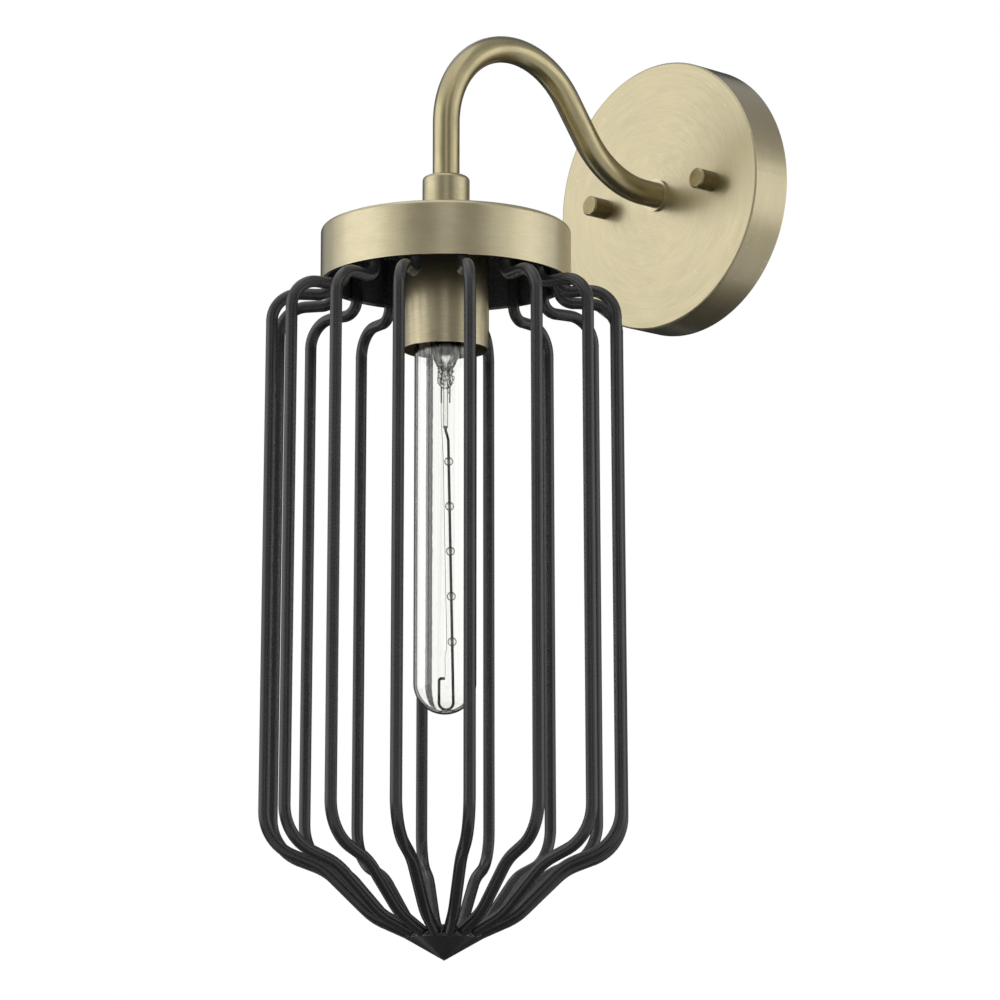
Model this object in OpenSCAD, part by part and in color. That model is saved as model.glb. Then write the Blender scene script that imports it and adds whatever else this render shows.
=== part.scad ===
// Cage wall light: a round wall plate, a gooseneck arm and a cylindrical
// cage of bent rods that hangs round a long tubular lamp.
// The wall is the plane Y = 0, the light stands out along -Y and hangs
// down along -Z. The origin is the middle of the wall plate's back.

/* [Wall plate] */
// Outer diameter of the wall plate
plate_d = 127; // [116:1:150]
// Depth of the wall plate, from the wall to its face
plate_depth = 21; // [16:0.5:30]
// Sheet thickness of the wall plate
plate_wall = 1.2; // [0.8:0.1:2]
// Rounding of the plate's front edge
plate_edge_r = 1; // [0.8:0.1:3]

/* [Mounting strap] */
// Length of the strap across the wiring box
strap_l = 108; // [102:1:112]
// Width of the strap
strap_w = 20; // [14:1:26]
// Thickness of the strap
strap_t = 2; // [1.5:0.1:3]
// Distance between the two box slots
slot_spacing = 88.9; // [84:0.1:92]
// End to end length of a box slot
slot_l = 10; // [6:0.5:12]
// Width of a box slot
slot_w = 4.8; // [4:0.1:6]
// Distance of the ground screw from the strap's middle
ground_x = 16; // [12:0.5:22]
// Thread diameter of the ground screw
ground_d = 4; // [3:0.5:5]

/* [Studs and knobs] */
// Distance between the two studs
stud_spacing = 70; // [60:1:74]
// Thread diameter of a stud
stud_d = 4; // [3:0.5:5]
// Length of a stud in front of the plate's face
stud_reach = 7.5; // [5:0.5:8.5]
// Diameter of a knob
knob_d = 9.5; // [8:0.5:14]
// Length of a knob
knob_l = 10; // [10:0.5:16]
// Chamfer round a knob's front
knob_chamfer = 0.7; // [0.3:0.1:1.2]

/* [Arm] */
// Outer diameter of the arm tube
arm_d = 12; // [10:0.5:13]
// Wall of the arm tube
arm_wall = 1; // [0.8:0.1:1.4]
// Straight length of the arm in front of the plate
arm_stub = 8.5; // [6:0.5:20]
// Radius of the arm's lower bend, on its centre line
arm_low_r = 48; // [30:1:60]
// Slope that the arm climbs at
arm_rise = 52.5; // [35:0.5:65]
// Straight length between the two bends
arm_straight = 20; // [5:1:40]
// Radius of the arm's top bend, on its centre line
arm_top_r = 42; // [36:1:60]
// Length of the vertical leg below the top bend
arm_leg = 31; // [26:1:60]
// Outer diameter of the collar at the plate
collar_d = 15; // [14:0.5:20]
// Thickness of the collar
collar_t = 1.6; // [1:0.1:3]

/* [Coupling] */
// Diameter of the coupling that joins arm and cap
coupling_d = 21; // [17:0.5:26]
// Length of the coupling
coupling_l = 24.3; // [20:0.1:32]
// Rounding of the coupling's top edge
coupling_edge_r = 2; // [0.5:0.1:3]
// Depth that the arm sits in the coupling
coupling_seat = 6; // [4:0.5:8]

/* [Cap] */
// Outer diameter of the cap
cap_d = 111; // [104:1:116]
// Height of the cap
cap_h = 24.2; // [20:0.1:32]
// Sheet thickness of the cap
cap_wall = 1; // [0.8:0.1:1.6]
// Rounding of the cap's top edge
cap_edge_r = 2; // [0.8:0.1:3]

/* [Cage hub] */
// Sheet thickness of the hub inside the cap
hub_wall = 1; // [0.8:0.1:1.6]
// Height that the hub stops short of the cap's rim
hub_recess = 0.5; // [0.2:0.1:3]

/* [Cage rods] */
// Diameter of a rod
rod_d = 5.2; // [4:0.1:5.4]
// Turn of the whole cage about its axis
cage_turn = 10; // [0:0.5:22]
// Radius of the cage below its shoulder, on the rods' centre lines
cage_r = 77; // [74:0.5:90]
// Outward lean of the rods, in degrees
cage_flare = 0.3; // [0:0.1:1.5]
// Height that a rod runs on below the cap before it bends out
neck_drop = 0.6; // [0.3:0.1:6]
// Radius of the bend below the cap
neck_r = 6.5; // [5:0.5:8]
// Radius of the shoulder bend
shoulder_r = 12.5; // [8:0.5:15]
// Straight length of a rod's side
side_l = 216; // [170:1:300]
// Radius of the bend at the foot of the side
foot_r = 20; // [14:0.5:26]
// Slope under the foot bend
foot_slope = 21; // [14:0.5:28]
// Straight length under the foot bend
foot_run = 8; // [4:0.5:14]
// Radius of the hollow bend below it
hollow_r = 26; // [20:0.5:34]
// Slope of the steep stretch
steep_slope = 44; // [38:0.5:50]
// Length of the steep stretch
steep_run = 20; // [14:0.5:26]
// Radius of the full bend above the tip
full_r = 26; // [20:0.5:34]
// Slope at which the rods reach the tip
tip_slope = 24; // [18:0.5:30]

/* [Cage tip] */
// Radius of the pointed tip at its top edge
tip_r = 17; // [15.5:0.5:22]
// Slope of the tip's cone
cone_slope = 29.5; // [27:0.5:36]

/* [Socket cup] */
// Outer diameter of the socket cup
cup_d = 38.2; // [37:0.1:44]
// Length of the socket cup
cup_l = 52.5; // [48:0.5:60]
// Sheet thickness of the socket cup
cup_wall = 1; // [0.8:0.1:1.4]

/* [Nipples and nuts] */
// Thread diameter of the two nipples
nipple_d = 9.8; // [9:0.1:9.8]
// Length that the socket nipple reaches into the coupling
nipple_in = 9; // [7:0.5:12]
// Wiring bore of the two nipples
nipple_bore = 6.6; // [5:0.1:7.5]
// Width across flats of the lock nuts
nut_flats = 14; // [13:0.5:16]
// Thickness of the lock nuts
nut_t = 4; // [3:0.5:4.5]
// Thickness of the lock washers
washer_t = 0.8; // [0.5:0.1:1.2]
// Width across flats of the stud nuts
stud_nut_flats = 7; // [6.5:0.1:8]
// Thickness of the stud nuts
stud_nut_t = 3.2; // [2:0.1:4]

/* [Lampholder] */
// Length of the lampholder's bore for the screw shell
holder_bore_l = 32; // [28:0.5:34]
// Thickness of the lampholder above that bore
holder_top_l = 8; // [7:0.5:10]
// Sheet thickness of the screw shell
shell_wall = 0.4; // [0.3:0.1:0.8]
// Length of the screw shell
shell_l = 28; // [24:0.5:30]
// Height of the centre contact's bridge
contact_h = 4.2; // [3:0.1:5]

/* [Lamp] */
// Diameter of the lamp's screw cap
lamp_cap_d = 26; // [25:0.1:27]
// Diameter of the glass tube
glass_d = 27.5; // [27:0.5:30]
// Length of the lamp over all
lamp_l = 195.5; // [150:1:230]
// Thickness of the glass
glass_wall = 0.9; // [0.6:0.1:1.2]
// Height of the lamp's screw cap
lamp_cap_l = 21; // [19:0.5:24]
// Turn of the lamp about its axis, at rest
lamp_rest_turn = 46.6; // [0:0.1:360]
// Length that the glass neck reaches up into the screw cap
neck_in = 6; // [4:0.5:8]
// Length of the neck below the screw cap
neck_out = 7; // [5:0.5:10]
// Length of the stem between its flare and its pinch
stem_l = 22; // [16:0.5:30]
// Length of the lead wires below the pinch
lead_l = 8; // [4:0.5:14]
// Distance of a lead wire from the lamp's axis
lead_x = 1.9; // [1.8:0.1:2.4]
// Length of the glass rod below the pinch
rod_l = 18.5; // [12:0.5:22]
// Diameter of the dark spine wire
spine_d = 1.2; // [0.5:0.1:1.5]
// Sideways step at the spine's top, in degrees of its bends
spine_kink = 16; // [0:0.5:24]
// Lean of the spine below that step, in degrees
spine_lean = 1.2; // [0:0.1:2]
// Radius of the spine's hook at the bottom
hook_r = 3.1; // [2:0.1:4]
// Length that the hook comes up again
hook_up = 9.5; // [6:0.5:16]
// Height of the hook's underside above the glass dome's bottom
hook_gap = 0.6; // [0.4:0.1:4]
// Diameter of a glass bead on the spine
bead_d = 4; // [3:0.1:5]
// Distance between the beads
bead_pitch = 20; // [15:0.5:21]
// Diameter of the thin filament
filament_d = 0.3; // [0.2:0.05:0.5]

/* [Fits] */
// Side clearance of a thread or a shaft that is held fast
thread_gap = 0.1; // [0.05:0.01:0.2]
// Side clearance between pieces that move on each other
run_gap = 0.4; // [0.3:0.05:0.8]
// Gap between a knob's back and the plate
knob_gap = 0.1; // [0.05:0.01:0.3]
// Side clearance of nested sheet pieces
nest_gap = 0.3; // [0.2:0.05:0.6]

/* [Hidden] */
$fn = 96;
eps = 0.01;
rod_count = 16;
bead_count = 5;
brass = [0.72, 0.66, 0.48];
bright_brass = [0.80, 0.72, 0.50];
black_steel = [0.16, 0.16, 0.17];
zinc = [0.72, 0.74, 0.76];
phenolic = [0.10, 0.09, 0.08];
clear_glass = [0.85, 0.90, 0.92, 0.35];
green_zinc = [0.15, 0.45, 0.22];
dark_wire = [0.12, 0.11, 0.11];

// Where a path of steps ends: [x, z, heading]. A step [length, 0] is
// straight, and a step [radius, turn] is a bend, to the left where the
// turn is positive.
function path_end(steps, i = 0, x = 0, z = 0, h = 0) =
    i == len(steps) ? [x, z, h] :
    let (size = steps[i][0], turn = steps[i][1], side = sign(turn))
    turn == 0
        ? path_end(steps, i + 1, x + size * cos(h), z + size * sin(h), h)
        : path_end(steps, i + 1, x + side * size * (sin(h + turn) - sin(h)),
                   z + side * size * (cos(h) - cos(h + turn)), h + turn);

// The arm's steps, from the plate's face, heading away from the wall.
arm_steps = [[arm_stub, 0], [arm_low_r, arm_rise], [arm_straight, 0],
             [arm_top_r, -90 - arm_rise], [arm_leg, 0]];
arm_end = path_end(arm_steps);
// Distance from the wall to the cage's axis.
reach = plate_depth + arm_end[0];

// Heights, from the arm's end downwards.
coupling_top_z = arm_end[1] + coupling_seat;
cap_top_z = coupling_top_z - coupling_l;
cap_rim_z = cap_top_z - cap_h;
hub_top_z = cap_top_z - cap_wall;
hub_floor_z = hub_top_z - hub_wall;
hub_rim_z = cap_rim_z + hub_recess;
hub_r = cap_d / 2 - cap_wall - nest_gap;
cup_floor_z = hub_floor_z - cup_wall;
washer_floor_z = cup_floor_z - washer_t;
nut_floor_z = washer_floor_z - nut_t;

// The rods' path, from the hub's floor, heading down.
rod_weld_gap = 0.05;
rod_top_r = hub_r - hub_wall - rod_weld_gap - rod_d / 2;
rod_drop = hub_floor_z - cap_rim_z + neck_drop;
shoulder_run = cage_r - shoulder_r - neck_r - rod_top_r;
rod_bends = [[rod_drop, 0], [neck_r, 90], [shoulder_run, 0],
             [shoulder_r, cage_flare - 90], [side_l, 0],
             [foot_r, foot_slope - 90 - cage_flare], [foot_run, 0],
             [hollow_r, steep_slope - foot_slope], [steep_run, 0],
             [full_r, tip_slope - steep_slope]];
rod_pitch_a = 360 / rod_count;
// The rods stop where they would start to touch each other.
rod_end_gap = 0.3;
rod_end_r = (rod_d + rod_end_gap) / 2 / sin(rod_pitch_a / 2);
bends_end = path_end(rod_bends, h = -90);
tip_run = (rod_top_r + bends_end[0] - rod_end_r) / cos(tip_slope);
rod_steps = concat(rod_bends, [[tip_run, 0]]);
rod_end = path_end(rod_steps, h = -90);
rod_end_z = hub_floor_z + rod_end[1];

// The lampholder and the lamp, from the lock nut downwards.
holder_top_z = nut_floor_z - 0.6;
holder_bore_z = holder_top_z - holder_top_l;
holder_rim_z = holder_bore_z - holder_bore_l;
holder_r = cup_d / 2 - cup_wall - nest_gap;
shell_bore_r = lamp_cap_d / 2 + run_gap;
shell_r = shell_bore_r + shell_wall;
holder_bore_r = shell_r + thread_gap;
lamp_top_z = holder_bore_z - contact_h - nest_gap;
lamp_bottom_z = lamp_top_z - lamp_l;

// A round rod along a path of steps. It starts at the origin, heads along
// +X and bends in the XZ plane. Each bend ends in a ball a hair wider than
// the rod, which closes the narrow joint to the next step.
module bent_rod(steps, d, i = 0) {
    if (i < len(steps)) {
        size = steps[i][0];
        turn = steps[i][1];
        joint = d / 50;
        last = i == len(steps) - 1;
        start = i > 0 && steps[max(i - 1, 0)][1] != 0 ? joint : 0;
        step_end = path_end([steps[i]]);
        if (turn == 0)
            translate([start, 0, 0]) rotate([0, 90, 0]) cylinder(d = d, h = size - start);
        else
            mirror([0, 0, turn < 0 ? 1 : 0]) translate([0, 0, size]) rotate([90, 90, 0])
                rotate_extrude(angle = abs(turn) - (last ? 0 : joint / size * 180 / PI))
                    translate([size, 0]) circle(d = d);
        translate([step_end[0], 0, step_end[1]]) rotate([0, -turn, 0]) {
            if (turn != 0 && !last) sphere(d = d + joint);
            bent_rod(steps, d, i + 1);
        }
    }
}

// A tube or washer that stands on z = 0.
module tube(d, bore, h) {
    difference() {
        cylinder(d = d, h = h);
        translate([0, 0, -1]) cylinder(d = bore, h = h + 2);
    }
}

// A hexagon nut that stands on z = 0.
module hex_nut(flats, bore, h) {
    difference() {
        cylinder(d = flats / cos(30), h = h, $fn = 6);
        translate([0, 0, -1]) cylinder(d = bore, h = h + 2);
    }
}

// Half profile of a disc or a drum, from the axis out to r, h high, with
// its top outer edge rounded.
module drum_profile(r, h, edge_r) {
    square([r - edge_r, h]);
    square([r, h - edge_r]);
    translate([r - edge_r, h - edge_r]) intersection() {
        circle(edge_r);
        square(edge_r);
    }
}

// A round sheet cup that stands mouth down on z = 0.
module sheet_cup(d, h, wall, edge_r, hole_d) {
    rotate_extrude() difference() {
        drum_profile(d / 2, h, edge_r);
        translate([-1, -1]) square([d / 2 - wall + 1, h - wall + 1]);
        translate([-1, 0]) square([hole_d / 2 + 1, h + 1]);
    }
}

// Turns a piece that is drawn along +Z to point away from the wall.
module off_wall(y = 0) {
    translate([0, -y, 0]) rotate([90, 0, 0]) children();
}

// Moves a piece to the cage's axis at a height.
module on_axis(z = 0) {
    translate([0, -reach, z]) children();
}

module at_studs() {
    for (side = [-1, 1]) translate([side * stud_spacing / 2, 0, 0]) children();
}

// ---- wall plate and its fixings ----

module slot_2d() {
    straight = slot_l - slot_w;
    square([straight, slot_w], center = true);
    for (side = [-1, 1]) translate([side * straight / 2, 0]) circle(d = slot_w);
}

module mounting_strap() {
    color(zinc) off_wall() linear_extrude(strap_t) difference() {
        square([strap_l, strap_w], center = true);
        for (side = [-1, 1]) translate([side * slot_spacing / 2, 0]) slot_2d();
        at_studs() circle(d = stud_d + 2 * thread_gap);
        translate([-ground_x, 0]) circle(d = ground_d + 2 * thread_gap);
    }
}

module strap_studs() {
    color(zinc) at_studs() off_wall()
        cylinder(d = stud_d, h = plate_depth + stud_reach);
}

module stud_hex_nuts() {
    color(zinc) at_studs() off_wall(strap_t)
        hex_nut(stud_nut_flats, stud_d + 2 * thread_gap, stud_nut_t);
}

module ground_screw() {
    head_d = 2 * ground_d;
    head_h = 0.6 * ground_d;
    slot = 0.25 * ground_d;
    color(green_zinc) translate([-ground_x, 0, 0]) off_wall() {
        cylinder(d = ground_d, h = strap_t + eps);
        translate([0, 0, strap_t]) difference() {
            cylinder(d = head_d, h = head_h);
            translate([0, 0, head_h]) cube([head_d + 1, slot, 2 * slot], center = true);
        }
    }
}

module backplate() {
    stud_hole_d = stud_d + 1;
    color(brass) difference() {
        off_wall() sheet_cup(plate_d, plate_depth, plate_wall, plate_edge_r,
                             nipple_d + 2 * nest_gap);
        at_studs() off_wall(plate_depth - plate_wall - 1)
            cylinder(d = stud_hole_d, h = plate_wall + 2);
    }
}

module knob() {
    bore_l = stud_reach + 1 - knob_gap;
    color(brass) off_wall(plate_depth + knob_gap) rotate_extrude() difference() {
        polygon([[0, 0], [knob_d / 2, 0], [knob_d / 2, knob_l - knob_chamfer],
                 [knob_d / 2 - knob_chamfer, knob_l], [0, knob_l]]);
        translate([-1, -1]) square([stud_d / 2 + thread_gap + 1, bore_l + 1]);
    }
}

module knob_left() translate([-stud_spacing / 2, 0, 0]) knob();
module knob_right() translate([stud_spacing / 2, 0, 0]) knob();

// ---- arm ----

module arm_collar() {
    color(brass) off_wall(plate_depth) tube(collar_d, arm_d + 2 * thread_gap, collar_t);
}

module arm_tube() {
    over = 1;
    bore_steps = [for (i = [0 : len(arm_steps) - 1])
        i == 0 || i == len(arm_steps) - 1 ? arm_steps[i] + [over, 0] : arm_steps[i]];
    color(brass) translate([0, -plate_depth, 0]) rotate([0, 0, -90]) difference() {
        bent_rod(arm_steps, arm_d);
        translate([-over, 0, 0]) bent_rod(bore_steps, arm_bore);
    }
}

// Threaded end of the arm, brazed into its stub and clamped through the plate.
arm_bore = arm_d - 2 * arm_wall;
arm_nipple_d = arm_bore - 2 * thread_gap;
arm_clamp_y = plate_depth - plate_wall;
module arm_nipple() {
    back = arm_clamp_y - washer_t - nut_t - 2;
    color(zinc) off_wall(back)
        tube(arm_nipple_d, nipple_bore, plate_depth + arm_stub - 0.5 - back);
}

module arm_lock_washer() {
    color(zinc) off_wall(arm_clamp_y - washer_t)
        tube(nut_flats + 2, arm_nipple_d + 2 * thread_gap, washer_t);
}

module arm_hex_nut() {
    color(zinc) off_wall(arm_clamp_y - washer_t - nut_t)
        hex_nut(nut_flats, arm_nipple_d + 2 * thread_gap, nut_t);
}

// ---- coupling and cap ----

nipple_hole_d = nipple_d + 2 * thread_gap;
nipple_top_z = cap_top_z + nipple_in;
nipple_bottom_z = holder_top_z - 4;

module coupling() {
    color(brass) on_axis(cap_top_z) rotate_extrude() difference() {
        drum_profile(coupling_d / 2, coupling_l, coupling_edge_r);
        translate([-1, -1]) square([nipple_bore / 2 + 1, coupling_l + 2]);
        translate([-1, coupling_l - coupling_seat])
            square([arm_d / 2 + thread_gap + 1, coupling_seat + 1]);
        translate([-1, -1]) square([nipple_hole_d / 2 + 1, nipple_top_z - cap_top_z + 1.5]);
    }
}

module cap() {
    color(brass) on_axis(cap_rim_z)
        sheet_cup(cap_d, cap_h, cap_wall, cap_edge_r, nipple_hole_d);
}

module socket_nipple() {
    color(zinc) on_axis(nipple_bottom_z)
        tube(nipple_d, nipple_bore, nipple_top_z - nipple_bottom_z);
}

// ---- cage ----

module cage_hub() {
    color(black_steel) on_axis(hub_rim_z)
        sheet_cup(2 * hub_r, hub_top_z - hub_rim_z, hub_wall, cap_edge_r, nipple_hole_d);
}

module rod_shape(d = rod_d) {
    translate([rod_top_r, 0, hub_floor_z]) rotate([0, 90, 0]) bent_rod(rod_steps, d);
}

module cage_rod(number) {
    color(black_steel) on_axis() rotate([0, 0, cage_turn + number * rod_pitch_a]) rod_shape();
}

// The rods' lower ends lie half sunk in grooves in the tip's upper face.
module cage_tip() {
    seat_z = rod_end_z + (tip_r - rod_end_r) * tan(tip_slope);
    lip = rod_d / 2 / cos(tip_slope);
    edge_z = seat_z - lip;
    apex_z = edge_z - tip_r * tan(cone_slope);
    boss_r = rod_end_r - 0.5;
    boss_z = rod_end_z + rod_d / 2;
    color(black_steel) on_axis() difference() {
        rotate_extrude()
            polygon([[0, apex_z], [tip_r, edge_z], [tip_r, seat_z - lip / 2],
                     [boss_r, seat_z - lip / 2 - (tip_r - boss_r) * tan(tip_slope)],
                     [boss_r, boss_z], [0, boss_z + 2]]);
        for (number = [1 : rod_count])
            rotate([0, 0, cage_turn + number * rod_pitch_a])
                translate([rod_end_r, 0, rod_end_z]) rotate([0, 90 - tip_slope, 0])
                    cylinder(r = rod_d / 2 + rod_weld_gap, h = 2 * tip_r);
    }
}

// ---- socket ----

module socket_cup() {
    color(brass) on_axis(hub_floor_z - cup_l)
        sheet_cup(cup_d, cup_l, cup_wall, cap_edge_r, nipple_hole_d);
}

module socket_lock_washer() {
    color(zinc) on_axis(washer_floor_z) tube(nut_flats + 2, nipple_hole_d, washer_t);
}

module socket_hex_nut() {
    color(zinc) on_axis(nut_floor_z) hex_nut(nut_flats, nipple_hole_d, nut_t);
}

screw_d = 3;
screw_head_d = 6;
screw_head_h = 2;
screw_z = holder_top_z - holder_top_l / 2;
holder_neck_r = holder_r - screw_head_h - 1;

module lampholder() {
    color(phenolic) on_axis() difference() {
        rotate_extrude()
            polygon([[nipple_bore / 2, holder_top_z], [holder_neck_r, holder_top_z],
                     [holder_neck_r, holder_bore_z], [holder_r, holder_bore_z],
                     [holder_r, holder_rim_z], [holder_bore_r, holder_rim_z],
                     [holder_bore_r, holder_bore_z], [nipple_bore / 2, holder_bore_z]]);
        translate([0, 0, nipple_bottom_z - 0.5]) cylinder(d = nipple_hole_d, h = 10);
        at_terminals() translate([0, 0, -5]) cylinder(d = screw_d + 2 * thread_gap, h = 10);
    }
}

module at_terminals() {
    for (a = [0, 180]) rotate([0, 0, a]) translate([holder_neck_r, 0, screw_z])
        rotate([0, 90, 0]) children();
}

module terminal_screws() {
    color(bright_brass) on_axis() at_terminals() {
        translate([0, 0, -4.5]) cylinder(d = screw_d, h = 4.5 + eps);
        difference() {
            cylinder(d = screw_head_d, h = screw_head_h);
            translate([0, 0, screw_head_h]) cube([screw_head_d + 1, 0.8, 1.6], center = true);
        }
    }
}

module screw_shell() {
    color(bright_brass) on_axis(holder_bore_z - shell_l) {
        tube(2 * shell_r, 2 * shell_bore_r, shell_l);
        translate([0, 0, shell_l - shell_wall]) tube(2 * shell_bore_r + eps, 16, shell_wall);
    }
}

// A sprung bridge: a foot against the lampholder and a tongue over the lamp.
module centre_contact() {
    contact_w = 6;
    contact_t = 0.5;
    foot_l = 6;
    color(bright_brass) on_axis(holder_bore_z) rotate([90, 0, 0])
        translate([0, 0, -contact_w / 2]) linear_extrude(contact_w)
            polygon([[-foot_l, 0], [-foot_l, -contact_t], [-foot_l / 2 - contact_t, -contact_t],
                     [-foot_l / 2, -contact_h], [foot_l / 2, -contact_h],
                     [foot_l / 2, contact_t - contact_h],
                     [contact_t - foot_l / 2, contact_t - contact_h],
                     [-foot_l / 2, 0]]);
}

// ---- lamp ----

contact_r = 4.8;
dot_h = 1.4;
insulator_h = 4;
cap_sheet = 0.3;
lamp_cap_r = lamp_cap_d / 2;
neck_outer_r = lamp_cap_r - cap_sheet - thread_gap;
cap_top_lamp_z = lamp_top_z - dot_h - insulator_h;
cap_bottom_lamp_z = cap_top_lamp_z - lamp_cap_l;
neck_top_z = cap_bottom_lamp_z + neck_in;
body_top_z = cap_bottom_lamp_z - neck_out;
glass_r = glass_d / 2;

module lamp_contact() {
    color(bright_brass) on_axis(lamp_top_z - dot_h)
        rotate_extrude() intersection() {
            translate([0, dot_h - 8]) circle(8);
            square([contact_r, dot_h]);
        }
}

module lamp_insulator() {
    color(phenolic) on_axis(lamp_top_z - dot_h - insulator_h)
        cylinder(r1 = lamp_cap_r - 1.5, r2 = contact_r + 0.4, h = insulator_h);
}

module lamp_cap() {
    shoulder_h = 1.2;
    color(zinc) on_axis(cap_bottom_lamp_z) rotate_extrude()
        polygon([[lamp_cap_r, 0], [lamp_cap_r, lamp_cap_l - shoulder_h],
                 [lamp_cap_r - 1.5, lamp_cap_l], [contact_r + 1, lamp_cap_l],
                 [contact_r + 1, lamp_cap_l - cap_sheet],
                 [lamp_cap_r - 1.5 - cap_sheet, lamp_cap_l - cap_sheet],
                 [lamp_cap_r - cap_sheet, lamp_cap_l - shoulder_h - cap_sheet],
                 [lamp_cap_r - cap_sheet, 0]]);
}

// Half outline of the glass, from the dome's centre at z = 0, drawn in by a wall.
dome_z = lamp_bottom_z + glass_r;
module glass_profile(wall, top_z) {
    r = glass_r - wall;
    neck_r = neck_outer_r - wall;
    dome_step = 5;
    polygon(concat(
        [[0, top_z], [neck_r, top_z], [neck_r, cap_bottom_lamp_z - 1 - dome_z],
         [r - 0.8, body_top_z + 1.5 - dome_z], [r, body_top_z - 1 - dome_z]],
        [for (a = [0 : dome_step : 90]) [r * cos(a), -r * sin(a)]]));
}

module lamp_glass() {
    color(clear_glass) on_axis(dome_z) rotate_extrude() difference() {
        glass_profile(0, neck_top_z - dome_z);
        glass_profile(glass_wall, neck_top_z - dome_z + 1);
    }
}

// Places what hangs inside the glass, turned as the lamp is at rest.
module in_lamp(z = 0) {
    on_axis(z) rotate([0, 0, lamp_rest_turn]) children();
}

// The stem: a flared skirt that seals the neck, a funnel, a flat pinch and a rod.
stem_top_z = neck_top_z;
pinch_z = stem_top_z - stem_l;
pinch_l = 7;
pinch_w = 7.4;
pinch_t = 3;
rod_glass_d = 2.2;
rod_bottom_z = pinch_z - pinch_l - rod_l + eps;
module lamp_stem() {
    flare_r = neck_outer_r - glass_wall - thread_gap;
    waist_r = 6;
    foot_r = pinch_t;
    wall = 0.9;
    color(clear_glass) in_lamp() {
        rotate_extrude() polygon([[waist_r + 0.4 - wall, stem_top_z], [flare_r, stem_top_z],
            [flare_r, stem_top_z - 1], [waist_r + 1.2, stem_top_z - 5], [waist_r, stem_top_z - 12],
            [foot_r, pinch_z], [foot_r - wall, pinch_z], [waist_r - wall, stem_top_z - 11.5]]);
        translate([0, 0, pinch_z - pinch_l / 2 + 0.25])
            cube([pinch_w, pinch_t, pinch_l + 0.5], center = true);
        translate([0, 0, rod_bottom_z]) cylinder(d = rod_glass_d, h = rod_l);
    }
}

lead_d = 0.6;
lead_bottom_z = pinch_z - pinch_l - lead_l;
module lamp_leads() {
    color(zinc) in_lamp() for (side = [-1, 1]) translate([side * lead_x, 0, lead_bottom_z])
        cylinder(d = lead_d, h = lead_l - thread_gap);
}

// The spine hangs from the glass rod: a short sideways step, a long lean
// through the beads, a hook round in the dome, and a short bent end.
spine_top_z = rod_bottom_z - thread_gap;
spine_bend_r = 4;
spine_top = [[1, 0], [spine_bend_r, spine_kink], [3.5, 0], [spine_bend_r, spine_lean - spine_kink]];
spine_start = path_end(spine_top);
hook_centre_z = lamp_bottom_z + glass_wall + hook_gap + spine_d / 2 + hook_r;
spine_l = (spine_top_z - hook_centre_z - spine_start[0] - hook_r * sin(spine_lean)) / cos(spine_lean);
spine_steps = concat(spine_top, [[spine_l, 0], [hook_r, -180 - spine_lean], [hook_up, 0],
                                 [1, -90], [1.6, 0]]);
module lamp_spine() {
    color(dark_wire) in_lamp(spine_top_z) rotate([0, 90, 0]) bent_rod(spine_steps, spine_d);
}

first_bead = 9.2;
module lamp_beads() {
    color(clear_glass) in_lamp(spine_top_z) rotate([0, 90, 0])
        translate([spine_start[0], 0, spine_start[1]]) rotate([0, -spine_lean, 0])
            for (i = [0 : bead_count - 1]) translate([first_bead + i * bead_pitch, 0, 0])
                difference() {
                    sphere(d = bead_d);
                    rotate([0, 90, 0])
                        cylinder(d = spine_d + 2 * rod_weld_gap, h = 2 * bead_d, center = true);
                }
}

// The filament runs beside the spine, from a lead to the hook's bent end.
spine_tip = path_end(spine_steps);
filament_top = [-lead_x, lead_bottom_z - thread_gap];
filament_bottom = [spine_tip[1], spine_top_z - spine_tip[0] + spine_d / 2 + thread_gap];
module lamp_filament() {
    dx = filament_top[0] - filament_bottom[0];
    dz = filament_top[1] - filament_bottom[1];
    color(dark_wire) in_lamp() translate([filament_bottom[0], 0, filament_bottom[1]])
        rotate([0, atan2(dx, dz), 0]) cylinder(d = filament_d, h = norm([dx, dz]));
}

mounting_strap();
strap_studs();
stud_hex_nuts();
ground_screw();
backplate();
knob_left();
knob_right();
arm_collar();
arm_tube();
arm_nipple();
arm_lock_washer();
arm_hex_nut();
coupling();
cap();
cage_hub();
cage_rod(1);  // cage_rod_01
cage_rod(2);  // cage_rod_02
cage_rod(3);  // cage_rod_03
cage_rod(4);  // cage_rod_04
cage_rod(5);  // cage_rod_05
cage_rod(6);  // cage_rod_06
cage_rod(7);  // cage_rod_07
cage_rod(8);  // cage_rod_08
cage_rod(9);  // cage_rod_09
cage_rod(10);  // cage_rod_10
cage_rod(11);  // cage_rod_11
cage_rod(12);  // cage_rod_12
cage_rod(13);  // cage_rod_13
cage_rod(14);  // cage_rod_14
cage_rod(15);  // cage_rod_15
cage_rod(16);  // cage_rod_16
cage_tip();
socket_nipple();
socket_lock_washer();
socket_hex_nut();
socket_cup();
lampholder();
terminal_screws();
screw_shell();
centre_contact();
lamp_contact();
lamp_insulator();
lamp_cap();
lamp_glass();
lamp_stem();
lamp_leads();
lamp_spine();
lamp_beads();
lamp_filament();
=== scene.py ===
"""Looks of the cage wall light: finishes, fine pieces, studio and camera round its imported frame.

Every size is in metres, in the frame of the CAD: the wall is the plane Y = 0, the light stands
out along -Y and hangs down along -Z, and the origin is the middle of the wall plate's back.
"""

import logging
import math
from dataclasses import dataclass, field
from enum import Enum
from typing import Callable, Sequence

import bmesh
import bpy
from bmesh.types import BMesh, BMVert
from bpy.types import Material, Node, NodeSocket, NodeTree, Object
from mathutils import Matrix, Vector, noise


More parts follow.
